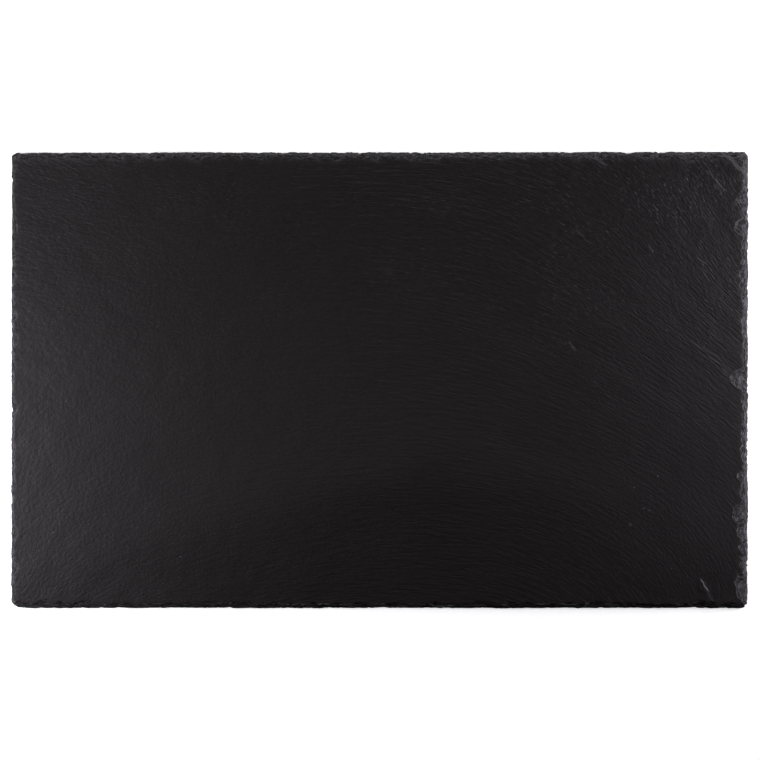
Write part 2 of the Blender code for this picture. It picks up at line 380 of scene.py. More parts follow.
@dataclass(frozen=True)
class RivenFace:
    """The split face: swells, ripples and warps along the grain, and the edges of missing leaves."""

    thickness: float = 0.0070
    grain: Grain = field(default_factory=Grain)
    seed: int = 27
    swell_height: float = 0.00034
    swell_length: float = 0.1300
    swell_width: float = 0.0620
    ripple_height: float = 0.00012
    ripple_length: float = 0.0500
    ripple_width: float = 0.0230
    warp_height: float = 0.00032
    warp_length: float = 0.0450
    warp_width: float = 0.0115
    dapple_height: float = 0.00009
    dapple_length: float = 0.0090
    calm_wrinkling: float = 0.34
    calm_until: float = -0.030
    full_from: float = 0.260
    smooth_below: Span = (0.100, -0.070)
    smooth_shares: Span = (0.45, 0.86)
    thread_middle: float = 0.0450
    thread_half_length: float = 0.1500
    calm_grit: float = 0.60
    grit_span: Span = (0.060, 0.220)
    scale_patch: float = 0.0260
    least_scaliness: float = 0.2
    patch_contrast: float = 0.8
    scarp_rise: float = 0.0012
    scarp_wander: float = 0.0012
    scarp_wander_length: float = 0.0060
    scarp_end_power: int = 4
    scarps: tuple[Scarp, ...] = (
        Scarp(0.2560, 0.1560, -39.0, 0.0170, 0.0011, 0.0300),
        Scarp(0.1570, 0.1570, -31.0, 0.0080, 0.0005, 0.0060),
        Scarp(0.2350, -0.1505, -68.0, 0.0090, 0.0005, 0.0080),
    )

    def wrinkling(self, x: Array, y: Array) -> Array:
        """How strongly the face is wrinkled: faint on the left, full at the right, but less near the front.

        Args:
            x: places along X in metres.
            y: places along Y in metres.

        Returns:
            Shares from the calm wrinkling to 1.
        """
        ramp = smoothstep((x - self.calm_until) / (self.full_from - self.calm_until))
        far, near = self.smooth_below
        calm, full = self.smooth_shares
        smoothed = (calm + (full - calm) * ramp) * smoothstep((far - y) / (far - near))
        return (self.calm_wrinkling + (1.0 - self.calm_wrinkling) * ramp) * (1.0 - smoothed)

    def grittiness(self, x: Array) -> Array:
        """How coarse the grit is: full at both ends of the slab and less in its middle."""
        start, stop = self.grit_span
        return self.calm_grit + (1.0 - self.calm_grit) * smoothstep((np.abs(x) - start) / (stop - start))

    def threading(self, x: Array) -> Array:
        """How plainly long threads show: a bell curve along X, full in the middle of the face."""
        return np.exp(-(((x - self.thread_middle) / self.thread_half_length) ** 2))

    def scaliness(self, x: Array, y: Array) -> Array:
        """Where crests have turned up as small scales: patches of noise.

        Args:
            x: places along X in metres.
            y: places along Y in metres.

        Returns:
            Shares from the least scaliness to 1.
        """
        patch = SeededNoise(self.seed + Draw.SCALES).at(x / self.scale_patch, y / self.scale_patch)
        share = smoothstep(0.5 + self.patch_contrast * patch)
        return self.least_scaliness + (1.0 - self.least_scaliness) * share

    def scarp_drop(self, x: Array, y: Array) -> Array:
        """How far missing leaves let the face down: a short slope at each scarp, then a long fade.

        Args:
            x: places along X in metres.
            y: places along Y in metres.

        Returns:
            The drop at each place, in metres.
        """
        drop = np.zeros_like(x)
        for number, scarp in enumerate(self.scarps):
            along_x = math.cos(math.radians(scarp.heading))
            along_y = math.sin(math.radians(scarp.heading))
            along = (x - scarp.x) * along_x + (y - scarp.y) * along_y
            beyond = (y - scarp.y) * along_x - (x - scarp.x) * along_y
            noise = SeededNoise(self.seed + Draw.SCARPS + number)
            beyond = beyond + self.scarp_wander * noise.at(along / self.scarp_wander_length, 0.0)
            window = np.exp(-((along / scarp.half_length) ** self.scarp_end_power))
            fall = smoothstep(beyond / self.scarp_rise) * np.exp(-np.clip(beyond, 0.0, None) / scarp.fade)
            drop = drop + scarp.drop * window * fall
        return drop

    def height(self, x: Array, y: Array) -> Array:
        """Height of the face: the thickness, plus swells, ripples, dapples and warps, less the scarps' drop.

        Swells and ripples are noise drawn out along X, and dapples are even noise.  Warps are noise on the
        grain's own coordinates, so they follow its turns.

        Args:
            x: places along X in metres.
            y: places along Y in metres.

        Returns:
            Heights over the underside, in metres.
        """
        swell = SeededNoise(self.seed + Draw.SWELL).at(x / self.swell_length, y / self.swell_width)
        ripple = SeededNoise(self.seed + Draw.RIPPLE).at(x / self.ripple_length, y / self.ripple_width)
        along, across = self.grain.coordinates(x, y)
        warp = SeededNoise(self.seed + Draw.WARP).at(along / self.warp_length, across / self.warp_width)
        dapple = SeededNoise(self.seed + Draw.DAPPLE).at(x / self.dapple_length, y / self.dapple_length)
        relief = self.swell_height * swell + self.ripple_height * ripple + self.dapple_height * dapple
        relief = relief + self.warp_height * self.wrinkling(x, y) * warp
        return self.thickness + relief - self.scarp_drop(x, y)


@dataclass(frozen=True)
class Columns:
    """The columns round the slab: outline and band points, metres run, freshness and painted light, and bed
    setbacks.
    """

    outline: Array
    band: Array
    run: Array
    freshness_and_painted_light: Array
    setbacks: Array


@dataclass(frozen=True)
class DressedEdge:
    """The broken edge: a stack of thin beds, each ending where the deepest scar crosses it."""

    length: float = 0.5300
    width: float = 0.3280
    thickness: float = 0.0070
    seed: int = 27
    band: float = 0.0150
    corner_span: float = 0.0600
    corner_depth: float = 0.42
    corner_power: float = 1.3
    scar_power: float = 1.4
    outline_wander: float = 0.00025
    wander_length: float = 0.0450
    seed_step: int = 10
    bed_count: int = 9
    thinnest_bed: float = 0.35
    bed_wander: float = 0.00022
    bed_wander_length: float = 0.0110
    nibble: float = 0.00014
    nibble_length: float = 0.0019
    outline_nibble: float = 0.00012
    outline_nibble_length: float = 0.0023
    level_wander: float = 0.00070
    level_wander_length: float = 0.0085
    scar_shift: float = 0.0018
    scar_stretch: float = 0.28
    stretch_between: Span = (-1.0, 0.6)
    chip_place: Span = (0.20, 0.80)
    chip_width: Span = (0.35, 0.75)
    chip_reach: Span = (1.10, 1.50)
    chip_depth: Span = (0.35, 0.62)
    bite_spacing: float = 0.0034
    bite_width: Span = (0.0007, 0.0036)
    bite_reach: Span = (0.00020, 0.0018)
    bite_rarity: float = 2.2
    bite_variety: Span = (0.5, 1.0)
    worn_bites: float = 0.4
    level_row: float = 7.3
    nibble_row: float = 5.7
    bevel_floor: float = 0.0021
    out_of_square: dict[Corner, tuple[float, float]] = field(
        default_factory=lambda: {
            Corner.NEAR_LEFT: (-0.0001, -0.0002),
            Corner.NEAR_RIGHT: (0.0000, -0.0003),
            Corner.FAR_RIGHT: (0.0005, 0.0003),
            Corner.FAR_LEFT: (0.0003, -0.0002),
        }
    )
    corner_break: dict[Corner, float] = field(
        default_factory=lambda: {
            Corner.NEAR_LEFT: 0.0049,
            Corner.NEAR_RIGHT: 0.0038,
            Corner.FAR_RIGHT: 0.0032,
            Corner.FAR_LEFT: 0.0032,
        }
    )
    # Each side's freshness also paints its light on the broken stone: the near side, facing away from the
    # lights, is painted dark as shade, and the right and far sides pale where the lights fall.
    sides: tuple[Side, ...] = (
        Side(
            start=Corner.NEAR_LEFT,
            end=Corner.NEAR_RIGHT,
            columns=760,
            reach=0.0038,
            foot=0.0020,
            freshness_and_painted_light=0.02,
            chip_spacing=0.0150,
            chips=(
                Chip(-0.2440, 0.0130, 0.0068, 0.0044),
                Chip(-0.2120, 0.0110, 0.0060, 0.0040),
                Chip(-0.1800, 0.0090, 0.0056, 0.0038),
                Chip(0.0740, 0.0120, 0.0058, 0.0040),
                Chip(0.2330, 0.0090, 0.0060, 0.0042),
            ),
        ),
        Side(
            start=Corner.NEAR_RIGHT,
            end=Corner.FAR_RIGHT,
            columns=472,
            reach=0.0042,
            foot=0.0022,
            freshness_and_painted_light=1.00,
            chip_spacing=0.0130,
            chips=(
                Chip(-0.1530, 0.0140, 0.0098, 0.0046),
                Chip(-0.1350, 0.0060, 0.0070, 0.0034),
                Chip(-0.1220, 0.0080, 0.0072, 0.0040),
                Chip(-0.1070, 0.0085, 0.0092, 0.0036),
                Chip(-0.0960, 0.0085, 0.0130, 0.0044),
                Chip(-0.0680, 0.0060, 0.0088, 0.0040),
                Chip(-0.0410, 0.0065, 0.0052, 0.0036),
                Chip(-0.0060, 0.0070, 0.0062, 0.0034),
                Chip(0.0012, 0.0105, 0.0130, 0.0048),
                Chip(0.0160, 0.0055, 0.0050, 0.0032),
                Chip(0.0420, 0.0050, 0.0050, 0.0036),
                Chip(0.0590, 0.0045, 0.0044, 0.0032),
                Chip(0.0760, 0.0050, 0.0070, 0.0036),
                Chip(0.0830, 0.0045, 0.0052, 0.0030),
                Chip(0.0930, 0.0055, 0.0052, 0.0036),
                Chip(0.1108, 0.0096, 0.0108, 0.0048),
                Chip(0.1220, 0.0045, 0.0068, 0.0032),
                Chip(0.1330, 0.0100, 0.0100, 0.0044),
            ),
        ),
        Side(
            start=Corner.FAR_RIGHT,
            end=Corner.FAR_LEFT,
            columns=760,
            reach=0.0036,
            foot=0.0018,
            freshness_and_painted_light=0.92,
            chip_spacing=0.0140,
            chips=(
                Chip(0.2250, 0.0110, 0.0062, 0.0040),
                Chip(0.1600, 0.0095, 0.0064, 0.0042),
                Chip(0.0880, 0.0090, 0.0054, 0.0038),
                Chip(0.0410, 0.0075, 0.0062, 0.0036),
                Chip(0.0220, 0.0085, 0.0066, 0.0040),
                Chip(-0.0900, 0.0090, 0.0050, 0.0036),
            ),
        ),
        Side(
            start=Corner.FAR_LEFT,
            end=Corner.NEAR_LEFT,
            columns=472,
            reach=0.0024,
            foot=0.0024,
            freshness_and_painted_light=0.68,
            chip_spacing=0.0140,
            chips=(
                Chip(0.1100, 0.0075, 0.0050, 0.0034),
                Chip(0.0740, 0.0060, 0.0046, 0.0032),
                Chip(0.0470, 0.0070, 0.0054, 0.0034),
                Chip(0.0280, 0.0065, 0.0054, 0.0034),
                Chip(-0.0230, 0.0080, 0.0050, 0.0036),
                Chip(-0.1370, 0.0080, 0.0066, 0.0038),
            ),
        ),
    )

    def levels(self) -> Array:
        """Heights of the beds' boundaries as shares of the thickness, from 0 to 1, unevenly spaced."""
        beds = np.random.default_rng(self.seed + Draw.BEDS).uniform(self.thinnest_bed, 1.0, self.bed_count)
        return np.concatenate([[0.0], np.cumsum(beds) / beds.sum()])

    def corner_point(self, corner: Corner) -> Array:
        """The corner of the outline, a little out of square, before its tip is broken off."""
        half = np.array([self.length / 2, self.width / 2])
        return np.array(corner.value) * half + np.array(self.out_of_square[corner])

    def drawn_in(self, value: Array, half: float) -> Array:
        """Draws a coordinate in by the band's width, all of it within the corner span at each end."""
        ramp = smoothstep((np.abs(value) - (half - self.corner_span)) / self.corner_span)
        return value - np.sign(value) * self.band * ramp

    def corner_cut(self, run: SideRun) -> Array:
        """How far in the tips broken off a side's corners move its outline.

        Args:
            run: the side, laid out.

        Returns:
            Metres inwards at each column.
        """
        cut = np.zeros_like(run.metres)
        for corner, distance in ((run.side.start, run.metres), (run.side.end, run.span - run.metres)):
            leg = self.corner_break[corner]
            share = np.clip(1.0 - distance / leg, 0.0, None)
            cut += self.corner_depth * leg * share**self.corner_power
        return cut

    def small_chips(self, run: SideRun) -> list[Chip]:
        """Draws the small chips along a side, one to each spacing, each with its own place and size.

        Args:
            run: the side, laid out.

        Returns:
            The chips, in order.
        """
        rng = np.random.default_rng(run.seed)
        count = int(run.span / run.side.chip_spacing)
        return [
            Chip(
                place=-run.span / 2 + run.span * (index + rng.uniform(*self.chip_place)) / count,
                half_width=run.side.chip_spacing * rng.uniform(*self.chip_width),
                reach=run.side.reach * rng.uniform(*self.chip_reach),
                depth=self.thickness * rng.uniform(*self.chip_depth),
            )
            for index in range(count)
        ]

    def bites(self, run: SideRun) -> Array:
        """How far small flakes, broken off each bed by itself, set it back further.

        Each bite is half an ellipse in plan, and most are small: their sizes run from the least to the
        largest with a random share raised to the rarity.

        Args:
            run: the side, laid out.

        Returns:
            Metres inwards, beds by columns.
        """
        rng = np.random.default_rng(run.seed + SideDraw.BITES)
        size = (self.bed_count, int(run.span / self.bite_spacing), 1)
        middle = rng.uniform(-run.span / 2, run.span / 2, size)
        share = rng.uniform(0.0, 1.0, size) ** self.bite_rarity
        narrow, wide = self.bite_width
        half_width = narrow + (wide - narrow) * share
        least, most = self.bite_reach
        reach = least + (most - least) * share * rng.uniform(*self.bite_variety, size)
        inside = np.clip(1.0 - ((run.place - middle) / half_width) ** 2, 0.0, None)
        strength = self.worn_bites + (1.0 - self.worn_bites) * run.side.freshness_and_painted_light
        return strength * np.max(reach * np.sqrt(inside), axis=1)

    def bed_setbacks(self, run: SideRun) -> Array:
        """How far in each bed of a side is broken back.

        A scar is a bowl whose plan is half an ellipse.  Its floor lies its depth below the face at the
        outline and rises to the face at its reach.  A bed ends at the contour of the deepest scar at the
        bed's own level.  The levels wander, and each bed shifts and stretches every scar a little, so the
        steps between beds part and join unevenly.  Each bed reads its noises on a row of its own.

        Args:
            run: the side, laid out.

        Returns:
            Metres inwards, beds by columns.
        """
        side = run.side
        place = run.place
        rng = np.random.default_rng(run.seed + SideDraw.SCARS)
        levels = self.levels()
        beds = np.arange(self.bed_count)[:, None]
        middles = (levels[:-1] + levels[1:])[:, None] / 2
        drop = self.thickness * (1.0 - middles)
        noise = SeededNoise(run.seed + SideDraw.LEVELS)
        level_shift = noise.at(place / self.level_wander_length, beds * self.level_row)
        drop = np.clip(drop + self.level_wander * level_shift, 0.0, None)
        bevel = np.clip(1.0 - drop / (self.thickness - side.foot), 0.0, None)
        setback = side.reach * bevel ** (1.0 / self.scar_power)
        for chip in self.small_chips(run) + list(side.chips):
            level = np.clip(1.0 - drop / chip.depth, 0.0, None) ** (1.0 / self.scar_power)
            middle = chip.place + self.scar_shift * rng.uniform(-0.5, 0.5, (self.bed_count, 1))
            stretch = self.scar_stretch * rng.uniform(*self.stretch_between, (self.bed_count, 1))
            half_width = chip.half_width * (1.0 + stretch)
            inside = np.clip(level**2 - ((place - middle) / half_width) ** 2, 0.0, None)
            setback = np.maximum(setback, chip.reach * np.sqrt(inside))
        wander = SeededNoise(run.seed + SideDraw.BED_WANDER).at(place / self.bed_wander_length, beds)
        rows = beds * self.nibble_row
        nibble = SeededNoise(run.seed + SideDraw.NIBBLE).at(place / self.nibble_length, rows)
        shared = SeededNoise(run.seed + SideDraw.OUTLINE).at(place / self.outline_nibble_length, 0.0)
        ragged = self.bed_wander * wander + self.nibble * nibble + self.outline_nibble * (1.0 + shared)
        return setback + self.bites(run) + ragged

    def side_columns(self, side: Side, seed: int) -> Columns:
        """Works out the columns of one side, from its start corner up to, but without, its end corner.

        Args:
            side: the side.
            seed: the side's own seed.

        Returns:
            The side's columns.
        """
        share = np.arange(side.columns) / side.columns
        start = self.corner_point(side.start)
        end = self.corner_point(side.end)
        outline = start + (end - start) * share[:, None]
        half = np.array([self.length / 2, self.width / 2])
        first = np.array(side.start.value) * half
        last = np.array(side.end.value) * half
        nominal = first + (last - first) * share[:, None]
        band = np.column_stack([self.drawn_in(nominal[:, 0], half[0]), self.drawn_in(nominal[:, 1], half[1])])
        axis = int(abs(end[1] - start[1]) > abs(end[0] - start[0]))
        place = nominal[:, axis]
        span = abs(end[axis] - start[axis])
        run = SideRun(side, place, share * span, span, seed)
        drift = SeededNoise(seed + SideDraw.DRIFT).at(place / self.wander_length, 0.0)
        wander = self.outline_wander * (1.0 + drift) / 2
        setbacks = self.bed_setbacks(run) + wander + self.corner_cut(run)
        return Columns(outline, band, run.metres, np.full(side.columns, side.freshness_and_painted_light), setbacks)

    def columns(self) -> Columns:
        """Joins the four sides' columns, and keeps each bed of the bevel behind the one below it.

        Returns:
            The columns round the whole slab.
        """
        seeds = (self.seed + self.seed_step * number for number in range(1, len(self.sides) + 1))
        parts = [self.side_columns(side, seed) for side, seed in zip(self.sides, seeds)]
        names = ("outline", "band", "run", "freshness_and_painted_light")
        joined = {name: np.concatenate([getattr(part, name) for part in parts]) for name in names}
        setbacks = np.concatenate([part.setbacks for part in parts], axis=1)
        first = int(np.searchsorted(self.levels()[:-1] * self.thickness, self.bevel_floor))
        setbacks[first:] = np.maximum.accumulate(setbacks[first:], axis=0)
        return Columns(**joined, setbacks=setbacks)


@dataclass
class SlabMesh:
    """The mesh while it is put together: points with their grain, and faces with their picture places."""

    places: list[Array] = field(default_factory=list)
    broken: list[Array] = field(default_factory=list)
    faces: list[Array] = field(default_factory=list)
    pictures: list[Array] = field(default_factory=list)
    count: int = 0

    def add_points(self, x: Array, y: Array, z: Array, broken: Union[float, Array] = 0.0) -> Array:
        """Adds points and says how freshly broken the stone is there, with its side's painted light.

        Args:
            x: places along X.
            y: places along Y.
            z: heights.
            broken: 0 for the old split face, 1 for the broken edge, scaled by the side's painted light.

        Returns:
            The new points' numbers, in the shape of x.
        """
        numbers = np.arange(self.count, self.count + x.size).reshape(x.shape)
        self.places.append(np.column_stack([x.ravel(), y.ravel(), z.ravel()]))
        self.broken.append(np.broadcast_to(broken, x.shape).ravel())
        self.count += x.size
        return numbers

    def add_faces(self, corners: Array, pictures: Array) -> None:
        """Adds faces of three or four corners, with the place of each corner in the baked picture."""
        self.faces.append(corners)
        self.pictures.append(pictures)

    def build(self, name: str) -> bpy.types.Mesh:
        """Writes the arrays into a Blender mesh, with its picture layout as a UV map.

        Args:
            name: the mesh's name.

        Returns:
            The mesh.
        """
        mesh = bpy.data.meshes.new(name)
        places = np.concatenate(self.places)
        loops = np.concatenate([block.ravel() for block in self.faces])
        sizes = np.concatenate([np.full(len(block), block.shape[1]) for block in self.faces])
        starts = np.concatenate([[0], np.cumsum(sizes)[:-1]])
        mesh.vertices.add(len(places))
        mesh.vertices.foreach_set("co", places.ravel())
        mesh.loops.add(len(loops))
        mesh.loops.foreach_set("vertex_index", loops)
        mesh.polygons.add(len(sizes))
        mesh.polygons.foreach_set("loop_start", starts)
        mesh.update(calc_edges=True)
        pictures = np.concatenate([block.ravel() for block in self.pictures])
        mesh.uv_layers.new(name="OFBake").uv.foreach_set("vector", pictures)
        return mesh


def strip(outer: Array, inner: Array) -> Array:
    """Quads between two closed rings of as many points, looking outwards from the inner one's left."""
    return np.column_stack([outer, np.roll(outer, -1), np.roll(inner, -1), inner])


def halving_strip(outer: Array, inner: Array) -> Array:
    """Triangles between a closed ring and one with half its points, three to each of the inner ring's steps.

    Args:
        outer: numbers of the fuller ring.
        inner: numbers of the ring with half as many.

    Returns:
        Point numbers, triangles by corners.
    """
    first = outer[0::2]
    middle = outer[1::2]
    last = np.roll(first, -1)
    after = np.roll(inner, -1)
    low = np.column_stack([first, middle, inner])
    across = np.column_stack([middle, after, inner])
    high = np.column_stack([middle, last, after])
    return np.concatenate([low, across, high])


def closed_grid(rim: Array, across: int, up: int) -> Array:
    """An empty table of point numbers whose border is a closed ring, counted from its low left corner.

    Args:
        rim: the ring's point numbers, running right, up, left and down.
        across: cells along X.
        up: cells along Y.

    Returns:
        The table, X by Y, with -1 inside.
    """
    table = np.full((across + 1, up + 1), -1)
    table[:across, 0] = rim[:across]
    table[across, :up] = rim[across : across + up]
    table[1:, up] = rim[across + up : 2 * across + up][::-1]
    table[0, 1:] = rim[2 * across + up :][::-1]
    return table


def grid_quads(table: Array) -> Array:
    """Quads between the points of a table, looking up."""
    corners = (table[:-1, :-1], table[1:, :-1], table[1:, 1:], table[:-1, 1:])
    return np.column_stack([corner.ravel() for corner in corners])


@dataclass(frozen=True)
class PictureLayout:
    """Where the skin lies in the baked picture: the face above, the underside and the walls' strips below."""

    margin: float = 0.006
    face_share: float = 0.988
    base_scale: float = 0.585
    strip_left: float = 0.600
    strip_width: float = 0.392
    strip_height: float = 0.082
    strip_step: float = 0.090
    length: float = 0.5320
    width: float = 0.3300

    def face(self, x: Array, y: Array) -> Array:
        """Places seen from above, at full scale along the picture's upper part.

        Args:
            x: places along X in metres.
            y: places along Y in metres.

        Returns:
            Picture places from 0 to 1.
        """
        scale = self.face_share / self.length
        u = self.margin + (x + self.length / 2) * scale
        v = 1.0 - self.margin - self.width * scale + (y + self.width / 2) * scale
        return np.stack([u, v], axis=-1)

    def underside(self, x: Array, y: Array) -> Array:
        """Places seen from below, at a smaller scale in the low left of the picture.

        Args:
            x: places along X in metres.
            y: places along Y in metres.

        Returns:
            Picture places from 0 to 1.
        """
        scale = self.base_scale / self.length
        u = self.margin + (self.length / 2 - x) * scale
        return np.stack([u, self.margin + (y + self.width / 2) * scale], axis=-1)

    def wall(self, side: int, run: Array, climb: Array) -> Array:
        """A side's lower wall, unrolled as one of four strips in the low right of the picture.

        Args:
            side: the side's number.
            run: metres run along it.
            climb: shares of the way up the wall.

        Returns:
            Picture places from 0 to 1.
        """
        u = self.strip_left + self.strip_width * run / self.length
        v = self.margin + side * self.strip_step + self.strip_height * climb
        return np.stack([u, v], axis=-1)


@dataclass(frozen=True)
class SlateSlab:
    """The whole slab: the broken edge, the riven face over it and the split underside beneath."""

    edge: DressedEdge = field(default_factory=DressedEdge)
    face: RivenFace = field(default_factory=RivenFace)
    painted_reflection: PaintedReflection = field(default_factory=PaintedReflection)
    layout: PictureLayout = field(default_factory=PictureLayout)
    skin: SlabMesh = field(default_factory=SlabMesh)
    bed_gap: float = 0.06
    worn_slope: float = 0.24
    fresh_slope: float = 0.40
    tread_tilt: float = 0.00024
    tread_tilt_length: float = 0.0030
    least_tread: float = 0.00003
    base_arris: float = 0.0006
    band_shares: tuple[float, ...] = (0.06, 0.14, 0.25, 0.38, 0.52, 0.70, 1.00)
    band_halvings: tuple[int, ...] = (3, 6)
    lip_wear: float = 0.00006
    rim_freshness: tuple[float, ...] = (0.42, 0.26, 0.13, 0.05, 0.0, 0.0, 0.0)
    rim_patch: float = 0.0060
    base_insets: tuple[float, ...] = (0.0040, 0.0080, 0.0150)
    base_relief: float = 0.00035
    base_length: float = 0.0900
    base_width: float = 0.0450
    wall_beds: int = 4
    tread_row: float = 3.3
    crease_degrees: float = 38.0

    @functools.cached_property
    def columns(self) -> Columns:
        """The columns round the slab."""
        return self.edge.columns()

    @property
    def wall_rings(self) -> int:
        """How many rings stand below the bevel: the underside's rim, and two to each bed of the wall."""
        return 2 * self.wall_beds + 1

    def base_height(self, x: Array, y: Array) -> Array:
        """Height of the underside away from its rim: noise raised so that it never sinks below nought."""
        noise = SeededNoise(self.face.seed + Draw.UNDERSIDE).at(x / self.base_length, y / self.base_width)
        return self.base_relief * (0.5 + 0.5 * noise)

    def ring_places(self, inwards: Array, step: int = 1) -> tuple[Array, Array]:
        """Places of one ring: each column's outline point, moved inwards along the column.

        Args:
            inwards: metres inwards at each column that is kept.
            step: keep one column in this many.

        Returns:
            Places along X and Y.
        """
        start = self.columns.outline[::step]
        places = start + (self.columns.band[::step] - start) * (inwards / self.edge.band)[:, None]
        return places[:, 0], places[:, 1]

    def slopes(self) -> Array:
        """How far in each bed's end leans per metre of its height: more where the stone broke freshly."""
        return self.worn_slope + (self.fresh_slope - self.worn_slope) * self.columns.freshness_and_painted_light

    def build_edge(self) -> tuple[Array, Array]:
        """Stacks the beds: two rings to each, the upper a little further in, so every bed ends in a step.

        Above the wall, each ring lies further in than the one below it, and the treads tilt at random.

        Returns:
            The point numbers of the underside's rim and of the face's lip.
        """
        columns = self.columns
        levels = self.edge.levels()
        slope = self.slopes()
        inwards = [columns.setbacks[0] + self.base_arris]
        shares = [0.0]
        for number, setback in enumerate(columns.setbacks):
            bed = levels[number + 1] - levels[number]
            inwards += [setback, setback + slope * bed * self.edge.thickness]
            shares += [levels[number] + self.bed_gap * bed, levels[number + 1]]
        shares[1] = self.base_arris / self.edge.thickness
        first = self.wall_rings
        creep = self.least_tread * np.arange(len(shares))[:, None]
        inwards = np.stack(inwards)
        inwards[first:] = np.maximum.accumulate(inwards[first:] - creep[first:], axis=0) + creep[first:]
        rings = []
        for number, (inset, share) in enumerate(zip(inwards, shares)):
            x, y = self.ring_places(inset)
            top = self.face.height(x, y)
            height = share * top
            if share == 1.0:
                height = height - self.lip_wear
            elif number >= first:
                noise = SeededNoise(self.face.seed + Draw.TREADS)
                tilt = noise.at(columns.run / self.tread_tilt_length, number * self.tread_row)
                height = np.minimum(height + self.tread_tilt * tilt, top - self.lip_wear)
            fresh = self.rim_freshness[0] if share == 1.0 else float(share > 0.0)
            # The broken share carries the side's painted light: dark as painted shade on the near side, pale
            # on the lit sides.
            rings.append(self.skin.add_points(x, y, height, columns.freshness_and_painted_light * fresh))
        table = np.stack(rings)
        self.picture_edge(table, inwards)
        return table[0], table[-1]

    def picture_edge(self, table: Array, inwards: Array) -> None:
        """Joins the edge's rings, the lower ones pictured as unrolled strips and the bevel from above.

        Args:
            table: point numbers, rings by columns.
            inwards: metres inwards, rings by columns.
        """
        wall = self.wall_rings
        spread = np.maximum.accumulate(inwards, axis=0)
        start = 0
        for side, shape in enumerate(self.edge.sides):
            kept = np.arange(start, start + shape.columns + 1)
            wrapped = kept % table.shape[1]
            run = self.columns.run[kept[:-1]]
            run = np.append(run, run[-1] + run[1] - run[0])
            for ring in range(len(table) - 1):
                lower = table[ring, wrapped]
                upper = table[ring + 1, wrapped]
                corners = np.column_stack([lower[:-1], lower[1:], upper[1:], upper[:-1]])
                if ring < wall:
                    low = self.layout.wall(side, run, np.full_like(run, ring / wall))
                    high = self.layout.wall(side, run, np.full_like(run, (ring + 1) / wall))
                else:
                    low = self.layout.face(*self.ring_places(spread[ring]))[wrapped]
                    high = self.layout.face(*self.ring_places(spread[ring + 1]))[wrapped]
                self.skin.add_faces(corners, np.stack([low[:-1], low[1:], high[1:], high[:-1]], axis=1))
            start += shape.columns

    def rim_patches(self, x: Array, y: Array) -> Array:
        """Where the face is bruised next to its lip: patches of noise, from 0 to about 2."""
        return 1.0 + SeededNoise(self.face.seed + Draw.RIM).at(x / self.rim_patch, y / self.rim_patch)

    def build_face(self, lip: Array) -> None:
        """Carries rings from the lip across the band, halving them twice, and closes the face with a grid.

        Args:
            lip: point numbers of the face's lip.
        """
        levels = self.edge.levels()
        rim = self.columns.setbacks[-1] + self.slopes() * (levels[-1] - levels[-2]) * self.edge.thickness
        below = lip
        blocks = []
        step = 1
        for number, share in enumerate(self.band_shares):
            inset = rim + (self.edge.band - rim) * share
            halved = number in self.band_halvings
            step *= 2 if halved else 1
            x, y = self.ring_places(inset[::step], step)
            # The rim's bruising is scaled by the side's painted light.
            bruised = self.rim_freshness[number] * self.columns.freshness_and_painted_light[::step] * self.rim_patches(x, y)
            ring = self.skin.add_points(x, y, self.face.height(x, y), bruised)
            blocks.append(halving_strip(below, ring) if halved else strip(below, ring))
            below = ring
        blocks.append(self.fill(below, x, y, step, self.face.height))
        self.lay(blocks, self.layout.face)

    def lay(self, blocks: list[Array], picture: Callable[[Array, Array], Array]) -> None:
        """Adds blocks of faces, pictured by a layout of their points' places.

        Args:
            blocks: point numbers, faces by corners, in each.
            picture: gives the picture places.
        """
        x, y, _ = np.concatenate(self.skin.places).T
        for corners in blocks:
            self.skin.add_faces(corners, picture(x[corners], y[corners]))

    def fill(self, rim: Array, x: Array, y: Array, step: int, height: Height) -> Array:
        """Closes a level ring with a rectangular grid.

        Args:
            rim: the ring's point numbers.
            x: the ring's places along X.
            y: the ring's places along Y.
            step: how many of the outline's columns go to one of the ring's.
            height: gives the heights of inner places.

        Returns:
            The grid's quads, looking up.
        """
        across = self.edge.sides[0].columns // step
        up = self.edge.sides[1].columns // step
        table = closed_grid(rim, across, up)
        inner_x, inner_y = np.meshgrid(x[1:across], y[across + 1 : across + up], indexing="ij")
        table[1:-1, 1:-1] = self.skin.add_points(inner_x, inner_y, height(inner_x, inner_y))
        return grid_quads(table)

    def build_underside(self, rim: Array) -> None:
        """Closes the underside: three halvings of the rim's columns, and a coarse grid within them.

        Args:
            rim: point numbers of the underside's rim.
        """
        below = rim
        blocks = []
        for halving, inset in enumerate(self.base_insets, start=1):
            step = 2**halving
            x, y = self.ring_places(np.full(len(self.columns.outline) // step, inset), step)
            ring = self.skin.add_points(x, y, self.base_height(x, y) * smoothstep(inset / self.edge.band))
            blocks.append(halving_strip(below, ring))
            below = ring
        blocks.append(self.fill(below, x, y, step, self.base_height))
        self.lay([corners[:, ::-1] for corners in blocks], self.layout.underside)

    def write_grain(self, mesh: bpy.types.Mesh) -> None:
        """Stores what the finish reads at each point: the grain's coordinates, and strengths from 0 to 1.

        The third grain coordinate is the depth below the face, so patterns on it lie along the beds.

        Args:
            mesh: the slab's mesh.
        """
        x, y, z = np.concatenate(self.skin.places).T
        vectors = {
            "grain": (*self.face.grain.coordinates(x, y), self.face.height(x, y) - z),
            "relief": (self.face.wrinkling(x, y), self.face.grittiness(x), self.face.scaliness(x, y)),
        }
        for name, parts in vectors.items():
            data = mesh.attributes.new(name, "FLOAT_VECTOR", "POINT").data
            data.foreach_set("vector", np.stack(parts, axis=1).ravel())
        numbers = {
            "threading": self.face.threading(x),
            # share of the painted reflection, a softbox's sheen painted into the face's colour
            "painted_reflection": self.painted_reflection.share(x, y),
            # broken stone, scaled by each side's painted light
            "broken": np.concatenate(self.skin.broken),
        }
        for name, values in numbers.items():
            mesh.attributes.new(name, "FLOAT", "POINT").data.foreach_set("value", values)

